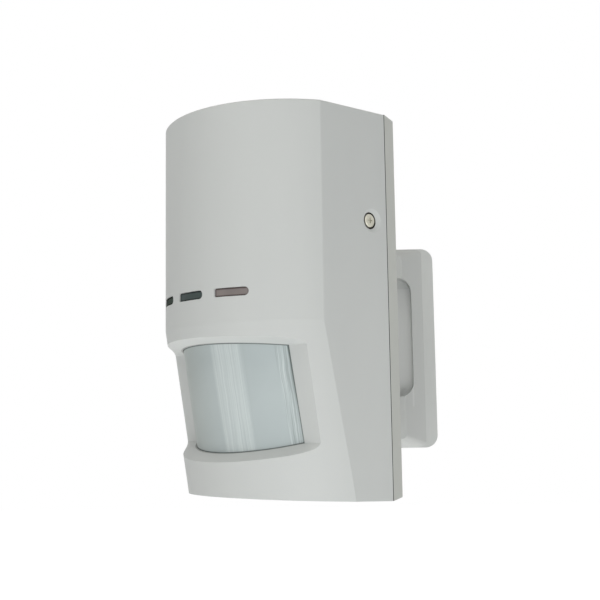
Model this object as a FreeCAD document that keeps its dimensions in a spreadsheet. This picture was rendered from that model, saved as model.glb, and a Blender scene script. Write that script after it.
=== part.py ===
import FreeCAD, Part
import math
import os
import Sketcher

# Wall-mounted motion detector on a panning bracket, in millimetres.
# World frame: origin on the wall side of the bracket's plate, +Y into the wall, +Z up.
# Case frame: x to the right seen from the front, y to the rear from the shoulder edges,
# z up from the foot of the seam.

V = FreeCAD.Vector
doc = FreeCAD.newDocument("motion_detector")
sheet = doc.addObject("Spreadsheet::Sheet", "Sizes")


class Size:
    """A number together with the sheet formula that gives it."""

    def __init__(self, value, formula):
        self.value = float(value)
        self.formula = formula

    def __neg__(self):
        return Size(-self.value, "(-1 * %s)" % self.formula)

    def __add__(self, other):
        other = as_size(other)
        return Size(self.value + other.value, "(%s + %s)" % (self.formula, other.formula))

    def __sub__(self, other):
        other = as_size(other)
        return Size(self.value - other.value, "(%s - %s)" % (self.formula, other.formula))

    def __mul__(self, other):
        other = as_size(other)
        return Size(self.value * other.value, "(%s * %s)" % (self.formula, other.formula))

    def __truediv__(self, other):
        other = as_size(other)
        return Size(self.value / other.value, "(%s / %s)" % (self.formula, other.formula))

    def __radd__(self, other):
        return as_size(other) + self

    def __rsub__(self, other):
        return as_size(other) - self

    def __rmul__(self, other):
        return as_size(other) * self


def as_size(number):
    """A plain number as a Size, a Size as it is."""
    return number if isinstance(number, Size) else Size(number, "(%.6f)" % number)


def size(alias, number):
    """Write a driving dimension to the sheet and return it."""
    cell = "A%d" % (len(sheet.getUsedCells()) + 1)
    sheet.set(cell, str(number))
    sheet.setAlias(cell, alias)
    return Size(number, "Sizes." + alias)


def root(number):
    return Size(math.sqrt(number.value), "sqrt(%s)" % number.formula)


def slope(angle):
    """Rise over run of an angle in degrees."""
    return Size(math.tan(math.radians(angle.value)), "tan(%s)" % angle.formula)


def sine(angle):
    return Size(math.sin(math.radians(angle.value)), "sin(%s)" % angle.formula)


def cosine(angle):
    return Size(math.cos(math.radians(angle.value)), "cos(%s)" % angle.formula)


def bind(feature, **properties):
    """Tie properties of a feature to the sheet."""
    for name, number in properties.items():
        number = as_size(number)
        setattr(feature, name, number.value)
        feature.setExpression(name, number.formula)


# Case
case_height = size("case_height", 160)
shoulder_width = size("shoulder_width", 95)
seam_width = size("seam_width", 100.4)
back_width = size("back_width", 96)
front_bulge = size("front_bulge", 29.7)
cover_depth = size("cover_depth", 34.3)
base_depth = size("base_depth", 8.9)
base_draft = size("base_draft", 1.2)
lean_start = size("lean_start", 71.2)
lean_angle = size("lean_angle", 10)
foot_angle = size("foot_angle", 2.9)
case_wall = size("case_wall", 2.2)
seam_gap = size("seam_gap", 0.3)
fit_gap = size("fit_gap", 0.3)
tongue_wall = size("tongue_wall", 1.5)
tongue_height = size("tongue_height", 3)
edge_round = size("edge_round", 0.4)
shoulder_round = size("shoulder_round", 1.6)
back_round = size("back_round", 2)

# Window, its brow and its chin
window_width = size("window_width", 68.6)
window_foot_width = size("window_foot_width", 70.2)
window_top = size("window_top", 61.7)
window_top_angle = size("window_top_angle", 6.1)
window_bottom = size("window_bottom", 23.8)
window_bottom_angle = size("window_bottom_angle", 14.3)
recess_width = size("recess_width", 86)
recess_foot_width = size("recess_foot_width", 88.4)
recess_depth = size("recess_depth", 8.4)
cheek_angle = size("cheek_angle", 7.8)
brow_edge = size("brow_edge", 64.1)
brow_angle = size("brow_angle", 4.6)
chin_edge = size("chin_edge", 20.9)
chin_angle = size("chin_angle", 12.5)
lens_radius = size("lens_radius", 44.7)
lens_setback = size("lens_setback", 0.9)
lens_thickness = size("lens_thickness", 0.8)
lens_border = size("lens_border", 2)
lens_clearance = size("lens_clearance", 0.2)
frame_thickness = size("frame_thickness", 1.8)
frame_flange = size("frame_flange", 3.7)

# Indicator slots
slot_foot = size("slot_foot", 81.7)
slot_height = size("slot_height", 3.5)
slot_width = size("slot_width", 15.3)
slot_turn = size("slot_turn", 23.2)
slot_corner = size("slot_corner", 0.7)
slot_nose = size("slot_nose", 1.65)
slot_setback = size("slot_setback", 0.5)
slot_clearance = size("slot_clearance", 0.08)
slot_flange = size("slot_flange", 1.3)

# Closing screw in the side wall
screw_height = size("screw_height", 113.8)
screw_to_seam = size("screw_to_seam", 8.6)
dish_width = size("dish_width", 9.8)
dish_depth = size("dish_depth", 1.2)
head_width = size("head_width", 5.6)
head_height = size("head_height", 1.9)
head_clearance = size("head_clearance", 0.5)
head_stand = size("head_stand", 0.8)
head_rim = size("head_rim", 1.6)
head_crown = size("head_crown", 4.8)
drive_width = size("drive_width", 2.4)
drive_slot = size("drive_slot", 0.5)
drive_depth = size("drive_depth", 0.6)
screw_width = size("screw_width", 3)
screw_flats = size("screw_flats", 5.5)
thread_clearance = size("thread_clearance", 0.05)
boss_width = size("boss_width", 9)
boss_height = size("boss_height", 3)
tab_thickness = size("tab_thickness", 2.8)
tab_width = size("tab_width", 13)

# Circuit board and what it carries
board_width = size("board_width", 77)
board_height = size("board_height", 128)
board_foot = size("board_foot", 16)
board_thickness = size("board_thickness", 1.6)
board_to_seam = size("board_to_seam", 11.9)
post_width = size("post_width", 7)
post_inset = size("post_inset", 5.5)
arm_seat = size("arm_seat", 5)
sensor_height = size("sensor_height", 48)
sensor_width = size("sensor_width", 9.2)
sensor_depth = size("sensor_depth", 4.2)
holder_width = size("holder_width", 14)
holder_depth = size("holder_depth", 2)
radar_width = size("radar_width", 46)
radar_height = size("radar_height", 40)
radar_foot = size("radar_foot", 98)
radar_thickness = size("radar_thickness", 1.2)
can_depth = size("can_depth", 7)
can_inset = size("can_inset", 5)
pin_width = size("pin_width", 0.7)
pin_pitch = size("pin_pitch", 2.54)
led_width = size("led_width", 3.2)
led_depth = size("led_depth", 1.9)
guide_width = size("guide_width", 9)
guide_thickness = size("guide_thickness", 2.6)
guide_gap = size("guide_gap", 0.2)
guide_stem = size("guide_stem", 3.8)
terminal_width = size("terminal_width", 40)
terminal_height = size("terminal_height", 9)
terminal_depth = size("terminal_depth", 10)
terminal_foot = size("terminal_foot", 22)
terminal_pitch = size("terminal_pitch", 5)
screw_pocket = size("screw_pocket", 0.8)
relay_width = size("relay_width", 20)
relay_height = size("relay_height", 10)
relay_side = size("relay_side", -24)
relay_foot = size("relay_foot", 55)
capacitor_width = size("capacitor_width", 8)
capacitor_depth = size("capacitor_depth", 11)
chip_width = size("chip_width", 10)
chip_depth = size("chip_depth", 1.6)
upper_row = size("upper_row", 92)
switch_side = size("switch_side", 32)
switch_width = size("switch_width", 6.5)
switch_height = size("switch_height", 12.8)
switch_depth = size("switch_depth", 5.8)
lever_width = size("lever_width", 3.2)
lever_height = size("lever_height", 11)
lever_depth = size("lever_depth", 0.5)
jumper_side = size("jumper_side", -20)
jumper_depth = size("jumper_depth", 2.5)
jumper_rise = size("jumper_rise", 6)
jumper_pitch = size("jumper_pitch", 3.81)
grommet_width = size("grommet_width", 10)
grommet_height = size("grommet_height", 124)
grommet_lip = size("grommet_lip", 1.5)

# Bracket
pan_angle = size("pan_angle", 45)
pivot_to_wall = size("pivot_to_wall", 24)
pivot_to_back = size("pivot_to_back", 25)
plate_width = size("plate_width", 76)
plate_height = size("plate_height", 97.4)
plate_lift = size("plate_lift", 67.1)
plate_corner = size("plate_corner", 6)
plate_edge = size("plate_edge", 2.5)
plate_shoulder = size("plate_shoulder", 5.5)
plate_rise = size("plate_rise", 8)
plate_run = size("plate_run", 10)
plate_draft = size("plate_draft", 4)
raised_step = size("raised_step", 0.2)
raised_corner = size("raised_corner", 4)
pocket_width = size("pocket_width", 53.6)
pocket_height = size("pocket_height", 57.5)
pocket_corner = size("pocket_corner", 7)
pivot_lift = size("pivot_lift", 4.6)
ear_width = size("ear_width", 18)
ear_thickness = size("ear_thickness", 4)
ear_gap = size("ear_gap", 26.4)
bolt_width = size("bolt_width", 6)
bolt_clearance = size("bolt_clearance", 0.07)
bolt_flats = size("bolt_flats", 10)
bolt_head = size("bolt_head", 4)
nut_height = size("nut_height", 5)
washer_width = size("washer_width", 14)
washer_thickness = size("washer_thickness", 0.8)
washer_gap = size("washer_gap", 0.1)
arm_plate_width = size("arm_plate_width", 40)
arm_plate_height = size("arm_plate_height", 60)
arm_plate_thickness = size("arm_plate_thickness", 3)
arm_plate_corner = size("arm_plate_corner", 4)
arm_web = size("arm_web", 8)
barrel_width = size("barrel_width", 16)
arm_hole_inset = size("arm_hole_inset", 6)
wall_hole_width = size("wall_hole_width", 4.5)
wall_hole_spread = size("wall_hole_spread", 30)
wall_hole_rise = size("wall_hole_rise", 42)
cable_hole_width = size("cable_hole_width", 10)
cable_hole_height = size("cable_hole_height", 9)

doc.recompute()

# Sizes worked out from the driving ones
half_shoulder = shoulder_width / 2
front_radius = (half_shoulder * half_shoulder + front_bulge * front_bulge) / (2 * front_bulge)
half_seam = seam_width / 2
half_back = back_width / 2
arc_centre = root(front_radius * front_radius - half_shoulder * half_shoulder)
inner_radius = front_radius - case_wall
inner_shoulder = half_shoulder - case_wall
flare = (half_seam - half_shoulder) / cover_depth
lean = slope(lean_angle)
foot_slope = slope(foot_angle)
case_back = cover_depth + base_depth
floor_face = case_back - case_wall
board_rear = cover_depth - board_to_seam
board_front = board_rear - board_thickness
cover_floor = case_wall + foot_slope * (cover_depth + recess_depth)
pivot_depth = case_back + pivot_to_back
pivot_height = plate_lift + pivot_lift
slot_centre = slot_foot + slot_height / 2
slot_offset = front_radius * sine(slot_turn)
half_window = window_width / 2
lens_centre = lens_setback - recess_depth + root(lens_radius * lens_radius - half_window * half_window)
window_slope_top = -slope(window_top_angle)
window_slope_bottom = slope(window_bottom_angle)
barrel_half = ear_gap / 2 - washer_thickness - washer_gap
REACH = 45.0
MARGIN = 1.0
START, END, CENTRE = 1, 2, 3
TERMINALS = 8
PINS = 6


def arc_face(x, radius=front_radius):
    """Depth of the front arc, or of an arc about the same centre, at a distance x from the middle."""
    return arc_centre - root(radius * radius - x * x)


def add_body(label):
    body = doc.addObject("PartDesign::Body", label)
    body.Label = label
    return body


def add_sketch(body, plane, lift=0, tilt=None):
    """An empty sketch on a plane of the body, lifted along its normal and tilted about its x axis."""
    sketch = body.newObject("Sketcher::SketchObject", "sketch")
    face = [f for f in body.Origin.OriginFeatures if f.Role == plane + "_Plane"][0]
    sketch.AttachmentSupport = [(face, "")]
    sketch.MapMode = "FlatFace"
    sketch.AttachmentOffset = FreeCAD.Placement(V(0, 0, 0), FreeCAD.Rotation(V(1, 0, 0), 0.01))
    sketch.setExpression("AttachmentOffset.Base.z", as_size(lift).formula)
    if tilt is None:
        sketch.AttachmentOffset = FreeCAD.Placement(V(0, 0, as_size(lift).value), FreeCAD.Rotation())
    else:
        sketch.setExpression("AttachmentOffset.Rotation.Angle", "atan(%s)" % tilt.formula)
    return sketch


def pin_point(sketch, geometry, point, x, y):
    """Hold a point of a sketch at a distance from its origin."""
    for kind, number in (("DistanceX", x), ("DistanceY", y)):
        number = as_size(number)
        index = sketch.addConstraint(Sketcher.Constraint(kind, -1, START, geometry, point, number.value))
        sketch.setExpression("Constraints[%d]" % index, number.formula)


def set_radius(sketch, geometry, radius):
    index = sketch.addConstraint(Sketcher.Constraint("Radius", geometry, radius.value))
    sketch.setExpression("Constraints[%d]" % index, radius.formula)


def draw_outline(sketch, corners):
    """Close an outline. A corner is (x, y), or (x, y, radius) where an arc runs to the next corner:
    a positive radius bulges to the right of the way, a negative one to the left."""
    first = sketch.GeometryCount
    points = [V(as_size(c[0]).value, as_size(c[1]).value, 0) for c in corners]
    ends = []
    for i, corner in enumerate(corners):
        start, end = points[i], points[(i + 1) % len(points)]
        if len(corner) == 3:
            edge = bulging_arc(start, end, corner[2].value)
        else:
            edge = Part.LineSegment(start, end)
        index = sketch.addGeometry(edge, False)
        # A sketch stores its arcs anticlockwise, so the drawn start can be either end.
        near = (sketch.getPoint(index, START) - start).Length < (sketch.getPoint(index, END) - start).Length
        ends.append((START, END) if near else (END, START))
    for i, corner in enumerate(corners):
        after = (i + 1) % len(corners)
        sketch.addConstraint(Sketcher.Constraint("Coincident", first + i, ends[i][1],
                                                 first + after, ends[after][0]))
        pin_point(sketch, first + i, ends[i][0], corner[0], corner[1])
        if len(corner) == 3:
            set_radius(sketch, first + i, corner[2] if corner[2].value > 0 else -corner[2])


def bulging_arc(start, end, radius):
    """The short arc between two points that bulges to the right of the way, or to the left if negative."""
    way = end - start
    sagitta = abs(radius) - math.sqrt(max(radius * radius - way.Length ** 2 / 4, 0))
    side = math.copysign(sagitta / way.Length, radius)
    return Part.Arc(start, (start + end) * 0.5 + V(way.y, -way.x, 0) * side, end)


def draw_circle(sketch, x, y, width):
    circle = Part.Circle(V(as_size(x).value, as_size(y).value, 0), V(0, 0, 1), width.value / 2)
    index = sketch.addGeometry(circle, False)
    pin_point(sketch, index, CENTRE, x, y)
    set_radius(sketch, index, width / 2)


def rounded_rectangle(sketch, x, y, width, height, corner, nose=None):
    """A rectangle centred on x, y with round corners, those on the right rounder if a nose is given."""
    right, left = x + width / 2, x - width / 2
    top, foot = y + height / 2, y - height / 2
    nose = nose or corner
    draw_outline(sketch, [(left + corner, foot), (right - nose, foot, nose),
                          (right, foot + nose), (right, top - nose, nose),
                          (right - nose, top), (left + corner, top, corner),
                          (left, top - corner), (left, foot + corner, corner)])


def add_pad(body, sketch, length, **options):
    """A pad, or with kind="Pocket" a pocket, of a sketch."""
    feature = body.newObject("PartDesign::" + options.pop("kind", "Pad"), "feature")
    feature.Profile = sketch
    bind(feature, Length=length)
    for name, setting in options.items():
        setattr(feature, name, setting)
    return feature


def add_pocket(body, sketch, length, **options):
    return add_pad(body, sketch, length, kind="Pocket", **options)


def on_slope(depth, height):
    """Where a depth that leans with the lower front falls on the tilted plane through a height."""
    return (depth + lean_shift(height)) * cosine(lean_angle)


def slope_radius(radius, half):
    """Radius on the tilted plane of an arc whose level radius and half width are given."""
    rise = (radius - root(radius * radius - half * half)) * cosine(lean_angle)
    return (half * half + rise * rise) / (2 * rise)


def add_leaning(body, height, corners, drop, kind):
    """A pad or pocket that runs down along the lean of the lower front from a tilted plane, by a drop.
    Corners are (x, level depth) and may carry a level radius with the half width of its arc."""
    sketch = add_sketch(body, "XY", height, lean)
    draw_outline(sketch, [(c[0], on_slope(c[1], height)) if len(c) == 2
                          else (c[0], on_slope(c[1], height), slope_radius(c[2], c[3]) * c[4]) for c in corners])
    return add_pad(body, sketch, drop / cosine(lean_angle), kind=kind, Reversed=kind == "Pad")


def add_primitive(body, kind, corner, **sizes):
    """An additive or subtractive primitive whose own origin is at the corner given."""
    feature = body.newObject("PartDesign::" + kind, "feature")
    bind(feature, **sizes)
    place_at(feature, corner)
    return feature


def place_at(feature, corner):
    for axis, number in zip("xyz", corner):
        feature.setExpression("Placement.Base." + axis, as_size(number).formula)


def add_loft(body, sketches, kind):
    loft = body.newObject("PartDesign::" + kind, "feature")
    loft.Profile = sketches[0]
    loft.Sections = sketches[1:]
    loft.Ruled = True
    return loft


def round_edges(body, radius, wanted, kind="Fillet"):
    """Round, or chamfer, the edges of the body whose box passes a test."""
    doc.recompute()
    base = body.Tip
    names = ["Edge%d" % (i + 1) for i, edge in enumerate(base.Shape.Edges) if wanted(edge.BoundBox)]
    fillet = body.newObject("PartDesign::" + kind, "feature")
    fillet.Base = (base, names)
    bind(fillet, **{"Radius" if kind == "Fillet" else "Size": radius})
    return fillet


def at(value, number, slack=0.05):
    return abs(value - as_size(number).value) < slack


def add_revolved(body, profile):
    """Turn a half profile of (radius, height) corners about the z axis."""
    sketch = add_sketch(body, "XZ")
    draw_outline(sketch, profile)
    turn = body.newObject("PartDesign::Revolution", "feature")
    turn.Profile = sketch
    turn.ReferenceAxis = (sketch, ["V_Axis"])
    turn.Angle = 360
    return turn


def lean_shift(height):
    """How far back the lower front lies at a height."""
    return (lean_start - height) * lean


def add_cover_outline(body):
    """The upper outline, full height, and the leaning lower front and sloping foot cut from it."""
    sketch = add_sketch(body, "XY")
    draw_outline(sketch, [(-half_shoulder, 0, front_radius), (half_shoulder, 0),
                          (half_seam, cover_depth), (-half_seam, cover_depth)])
    add_pad(body, sketch, case_height)
    toe = half_shoulder + flare * lean_shift(as_size(0))
    start = lean_start + lean * REACH
    side = arc_face(toe)
    add_leaning(body, start, [(-half_seam, as_size(-REACH)), (half_seam, as_size(-REACH)), (half_seam, side),
                              (toe, side, front_radius, toe, -1), (-toe, side), (-half_seam, side)],
                start + MARGIN, "Pocket")
    add_foot_cut(body)


def add_foot_cut(body):
    """Cut the underside along the line that rises towards the front."""
    sketch = add_sketch(body, "YZ")
    draw_outline(sketch, [(-REACH, -REACH), (case_back + MARGIN, -REACH),
                          (case_back + MARGIN, -foot_slope * (base_depth + MARGIN)),
                          (-REACH, foot_slope * (cover_depth + REACH))])
    add_pocket(body, sketch, seam_width * 2, Midplane=True)


def window_section(body, height, angle, outer, arc_radius, setback):
    """A level of the window recess: open to the front, with cheeks that meet an arc about the lens axis.
    The level slopes by the angle, and what leans is measured on that slope."""
    rise = slope(angle)
    stretch = root(1 + rise * rise)
    share = stretch / (1 + rise * lean)
    shift = lean_shift(height)

    def level(depth):
        return (depth + shift) * share

    sagitta = (arc_radius - root(arc_radius * arc_radius - half_window * half_window)) * share
    radius = (half_window * half_window + sagitta * sagitta) / (2 * sagitta)
    sketch = add_sketch(body, "XY", height, rise)
    inner = level(setback(half_window))
    side = level(setback(outer))
    front = level(as_size(-REACH))
    if arc_radius is front_face:
        draw_outline(sketch, [(outer, front), (outer, side, -front_face), (half_window, inner, -radius),
                              (-half_window, inner, -front_face), (-outer, side), (-outer, front)])
    else:
        draw_outline(sketch, [(outer, front), (outer, side), (half_window, inner, -radius),
                              (-half_window, inner), (-outer, side), (-outer, front)])
    return sketch


front_face = front_radius + MARGIN


def add_window_recess(body):
    """Recess round the lens: sloping brow above, flat cheeks beside it and the chin's top below."""
    cheek = slope(cheek_angle)

    def on_front(x):
        return arc_face(x, front_face)

    def on_cheek(x):
        return (x - half_window) * cheek - recess_depth

    outer_top = recess_width / 2 + MARGIN
    outer_foot = recess_foot_width / 2 + MARGIN
    brow_steepness = (brow_edge - window_top) / (front_radius - lens_radius)
    chin_steepness = (window_bottom - chin_edge) / (front_radius - lens_radius)
    levels = [window_section(body, chin_edge - chin_steepness * MARGIN, chin_angle, outer_foot, front_face,
                             on_front),
              window_section(body, window_bottom, window_bottom_angle, outer_foot, lens_radius, on_cheek),
              window_section(body, window_top, -window_top_angle, outer_top, lens_radius, on_cheek),
              window_section(body, brow_edge + brow_steepness * MARGIN, -brow_angle, outer_top, front_face,
                             on_front)]
    add_loft(body, levels, "SubtractiveLoft")


def window_mouth(body, depth, grow):
    """Outline of the lens opening, grown by a border, where it crosses a depth."""
    sketch = add_sketch(body, "XZ", -as_size(depth))
    top = window_top + window_slope_top * depth + grow
    foot = window_bottom + window_slope_bottom * depth - grow
    top_half = window_width / 2 + grow
    foot_half = window_foot_width / 2 + grow
    draw_outline(sketch, [(-foot_half, foot), (foot_half, foot), (top_half, top), (-top_half, top)])
    return sketch


def add_window_opening(body, grow, back):
    """Cut the opening for the lens, grown or shrunk by a border, from the front to a depth."""
    add_loft(body, [window_mouth(body, -REACH, grow), window_mouth(body, back, grow)], "SubtractiveLoft")


# Places that several pieces share
front_reach = front_radius - arc_centre
brow_shelf = brow_edge + slope(brow_angle) * front_reach + case_wall
chin_roof = chin_edge - case_wall * 1.5
chin_floor = (case_wall + foot_slope * (cover_depth + front_reach - lean_shift(as_size(0)))
              + sine(lean_angle) * (front_reach - case_wall - lean_shift(chin_roof)))
cheek_back = case_wall - recess_depth + slope(cheek_angle) * (recess_foot_width - window_width) / 2
bay_back = cheek_back + lean_shift(window_bottom) + case_wall
lens_reach = lens_radius - lens_centre
lens_half = half_window + lens_border
frame_half = lens_half + fit_gap
lens_roof = window_top + slope(window_top_angle) * lens_reach + lens_border + fit_gap
lens_floor = (window_bottom - slope(window_bottom_angle) * (lens_reach - lean_shift(window_bottom))
              - lens_border)
seat_drop = lens_roof - lens_floor + fit_gap
lens_start = lens_roof + sine(lean_angle) * lens_reach
screw_depth = cover_depth - screw_to_seam
screw_face = half_shoulder + flare * screw_depth
screw_seat = screw_face - dish_depth - head_height + head_stand
boss_end = screw_face - case_wall - boss_height
tongue_half = half_shoulder + flare * (cover_depth - tongue_height) - case_wall - fit_gap
tongue_top = case_height - case_wall - fit_gap
tongue_foot = cover_floor + fit_gap


def add_cover_hollow(body):
    """Hollow the cover: straight rear, high front, the leaning bay behind the window and the chin."""
    roof = case_height - case_wall
    bay = lean_shift(as_size(0)) + MARGIN
    bay_half = half_shoulder + flare * bay - case_wall
    rear_half = half_seam - case_wall + flare * MARGIN
    rear = cover_depth + MARGIN
    back = bay + MARGIN
    sketch = add_sketch(body, "XY", roof)
    draw_outline(sketch, [(-bay_half, bay), (bay_half, bay), (rear_half, rear), (-rear_half, rear)])
    add_pocket(body, sketch, roof - cover_floor)
    sketch = add_sketch(body, "XY", roof)
    face = arc_face(inner_shoulder, inner_radius)
    draw_outline(sketch, [(-inner_shoulder, face, inner_radius), (inner_shoulder, face),
                          (inner_shoulder, back), (-inner_shoulder, back)])
    add_pocket(body, sketch, roof - brow_shelf)
    start = brow_shelf + MARGIN + slope(lean_angle) * -cheek_back
    side = inner_shoulder - lens_clearance
    from_centre = arc_centre - cheek_back
    flat = root(inner_radius * inner_radius - from_centre * from_centre) - lens_clearance
    face = arc_face(side, inner_radius)
    add_leaning(body, start, [(-flat, cheek_back), (flat, cheek_back), (side, face), (side, back),
                              (-side, back), (-side, face)], start - cover_floor, "Pocket")
    side = side - lens_clearance
    face = arc_face(side, inner_radius)
    add_leaning(body, chin_roof, [(-side, face, inner_radius, side, 1), (side, face), (side, back),
                                  (-side, back)], chin_roof - chin_floor, "Pocket")


def add_lens_seat(body):
    """Groove behind the opening in which the edge of the lens lies."""
    radius = lens_radius + lens_clearance
    half = frame_half + lens_clearance
    side = lens_side(radius, half)
    add_leaning(body, lens_start, [(-half, side, radius, half, 1), (half, side), (half, side + recess_depth),
                                   (-half, side + recess_depth)], seat_drop, "Pocket")


def lens_side(radius, half):
    """Level depth of an arc about the lens's axis at half its width."""
    return lens_centre - root(radius * radius - half * half)


def slot_places():
    """Centre and width of each indicator slot as seen straight from the front."""
    side_width = slot_width * cosine(slot_turn)
    return {"left": (-slot_offset, side_width), "middle": (as_size(0), slot_width),
            "right": (slot_offset, side_width)}


def add_slots(body):
    sketch = add_sketch(body, "XZ", REACH)
    for x, width in slot_places().values():
        rounded_rectangle(sketch, x, slot_centre, width, slot_height, slot_corner, slot_nose)
    add_pocket(body, sketch, REACH + arc_face(slot_offset + slot_width / 2, inner_radius) + MARGIN)


def add_side_cylinder(body, kind, start, width, length):
    """A cylinder along x through the side wall at the closing screw."""
    feature = add_primitive(body, kind, (start, screw_depth, screw_height), Radius=width / 2, Height=length)
    feature.Placement = FreeCAD.Placement(feature.Placement.Base, FreeCAD.Rotation(V(0, 1, 0), 90))


def add_screw_dish(body):
    """Boss, shallow spherical dish, head recess and hole for the closing screw."""
    add_side_cylinder(body, "AdditiveCylinder", boss_end, boss_width, boss_height + case_wall / 2)
    radius = (dish_width * dish_width / 4 + dish_depth * dish_depth) / (2 * dish_depth)
    centre = (screw_face + radius - dish_depth, screw_depth, screw_height)
    dish = add_primitive(body, "SubtractiveSphere", centre, Radius=radius)
    dish.Angle1 = -90
    way_out = dish_width
    add_side_cylinder(body, "SubtractiveCylinder", screw_seat, head_width + head_clearance * 2, way_out)
    add_side_cylinder(body, "SubtractiveCylinder", boss_end - MARGIN, screw_width + head_clearance, way_out)


def on_shoulder(box):
    """Whether an edge is one of the long ones between the bowed front and the sides."""
    spread = (half_seam - half_shoulder).value / 2
    return (box.YMax < cover_depth.value - MARGIN and box.ZLength > window_top.value
            and at(abs(box.XMax), half_shoulder, spread) and at(abs(box.XMin), half_shoulder, spread))


def on_rim(box):
    """Whether an edge runs round the top, short of the seam."""
    return at(box.ZMin, case_height) and box.YMin < cover_depth.value - MARGIN


def make_front_cover():
    """The case's moulded front: bowed above, leaning back below, with the lens's recess, slots and dish."""
    body = add_body("front_cover")
    add_cover_outline(body)
    round_edges(body, shoulder_round, on_shoulder)
    round_edges(body, edge_round, on_rim, "Chamfer")
    add_window_recess(body)
    add_window_opening(body, as_size(0), bay_back)
    add_cover_hollow(body)
    add_lens_seat(body)
    add_slots(body)
    add_screw_dish(body)
    return body


def add_trims(body, grow):
    """Trim a leaning piece to the window's sloping top and bottom, grown by a border."""
    far = front_radius * 2
    top = window_top + grow
    foot = window_bottom - grow
    rise_top, rise_foot = window_slope_top * REACH, window_slope_bottom * REACH
    sketch = add_sketch(body, "YZ")
    draw_outline(sketch, [(-REACH, top - rise_top), (REACH, top + rise_top), (REACH, far), (-REACH, far)])
    add_pocket(body, sketch, seam_width, Midplane=True)
    sketch = add_sketch(body, "YZ")
    draw_outline(sketch, [(-REACH, -REACH), (REACH, -REACH), (REACH, foot + rise_foot),
                          (-REACH, foot - rise_foot)])
    add_pocket(body, sketch, seam_width, Midplane=True)


def make_lens():
    """Curved sheet that leans with the lower front."""
    body = add_body("fresnel_lens")
    inner = lens_radius - lens_thickness
    front, back = lens_side(lens_radius, lens_half), lens_side(inner, lens_half)
    add_leaning(body, lens_start, [(-lens_half, front, lens_radius, lens_half, 1), (lens_half, front),
                                   (lens_half, back, inner, lens_half, -1), (-lens_half, back)],
                seat_drop, "Pad")
    add_trims(body, lens_border)
    return body


def make_lens_frame():
    """Arched frame with side flanges that holds the lens into its seat from behind."""
    body = add_body("lens_frame")
    outer = lens_radius - lens_thickness - lens_clearance / 2
    inner = outer - frame_thickness
    side = lens_side(outer, frame_half)
    back = lens_side(inner, frame_half)
    front = cheek_back + lens_clearance / 2
    far = frame_half + frame_flange
    add_leaning(body, lens_start,
                [(-far, front), (-frame_half, front), (-frame_half, side, outer, frame_half, 1),
                 (frame_half, side), (frame_half, front), (far, front), (far, back),
                 (frame_half, back, inner, frame_half, -1), (-frame_half, back), (-far, back)],
                seat_drop, "Pad")
    add_trims(body, lens_border)
    add_window_opening(body, -lens_border, REACH / 2)
    return body


def add_arc_block(body, x, half, outer, inner, height):
    """A slice of the curved front between two radii, centred on the slots' height."""
    left, right = x - half, x + half
    sketch = add_sketch(body, "XY", slot_centre - height / 2)
    draw_outline(sketch, [(left, arc_face(left, outer), outer), (right, arc_face(right, outer)),
                          (right, arc_face(right, inner), -inner), (left, arc_face(left, inner))])
    add_pad(body, sketch, height)


def make_indicator_windows():
    """Tinted windows that fill the slots, each with a flange behind the wall."""
    bodies = []
    for side, (x, width) in slot_places().items():
        body = add_body("indicator_window_" + side)
        half = width / 2 - slot_clearance
        add_arc_block(body, x, half, front_radius - slot_setback, inner_radius - slot_flange / 2,
                      slot_height - 2 * slot_clearance)
        for end, radius in ((x - half, slot_corner), (x + half, slot_nose)):
            round_edges(body, radius - slot_clearance,
                        lambda box: at(box.XMin, end) and at(box.XMax, end) and at(box.ZLength, 0))
        add_arc_block(body, x, half + slot_flange, inner_radius - slot_clearance,
                      inner_radius - slot_flange, slot_height + 2 * slot_flange)
        bodies.append(body)
    return bodies


def rectangle(sketch, x, y, width, height):
    left, right = x - width / 2, x + width / 2
    foot, top = y - height / 2, y + height / 2
    draw_outline(sketch, [(left, foot), (right, foot), (right, top), (left, top)])


def draw_polygon(sketch, x, y, flats, sides):
    """A regular polygon given across its flats."""
    reach = flats / 2 / math.cos(math.pi / sides)
    turns = [2 * math.pi * i / sides for i in range(sides)]
    draw_outline(sketch, [(x + reach * math.cos(turn), y + reach * math.sin(turn)) for turn in turns])


def add_slab(body, rear, depth, places):
    """Blocks that stand forward from a depth: a place is (x, z, width, height), or (x, z, width) if round."""
    sketch = add_sketch(body, "XZ", -as_size(rear))
    for place in places:
        if len(place) == 3:
            draw_circle(sketch, *place)
        else:
            rectangle(sketch, *place)
    return add_pad(body, sketch, depth)


def make_slab(label, rear, depth, places):
    body = add_body(label)
    add_slab(body, rear, depth, places)
    return body


def add_holes(body, face, depth, places, **options):
    """Round holes bored to the rear from a depth, or forward with Reversed=True."""
    sketch = add_sketch(body, "XZ", -as_size(face))
    for x, z, width in places:
        draw_circle(sketch, x, z, width)
    add_pocket(body, sketch, depth, **options)


def corners_of(half_x, z, half_z, *sizes):
    """Four places at the corners of a rectangle."""
    return [(half_x * i, z + half_z * j) + sizes for i in (-1, 1) for j in (-1, 1)]


def post_places(*sizes):
    """The four posts under the board's corners, in opposite pairs: the first two take its screws."""
    middle = board_foot + board_height / 2
    places = corners_of(board_width / 2 - post_inset, middle, board_height / 2 - post_inset, *sizes)
    return [places[0], places[3], places[1], places[2]]


def arm_hole_places(*sizes):
    """The four screws at the corners of the arm's plate."""
    return corners_of(arm_plate_width / 2 - arm_hole_inset, pivot_height,
                      arm_plate_height / 2 - arm_hole_inset, *sizes)


def add_end_drafts(body, front):
    """Slope the tray's foot and top inwards from the seam to the back."""
    back = case_back + MARGIN
    fall = base_draft * (back - front) / base_depth
    for level, side in ((as_size(0), 1), (case_height, -1)):
        sketch = add_sketch(body, "YZ")
        draw_outline(sketch, [(front, level), (front, level - REACH * side), (back, level - REACH * side),
                              (back, level + fall * side)])
        add_pocket(body, sketch, seam_width * 2, Midplane=True)


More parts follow.
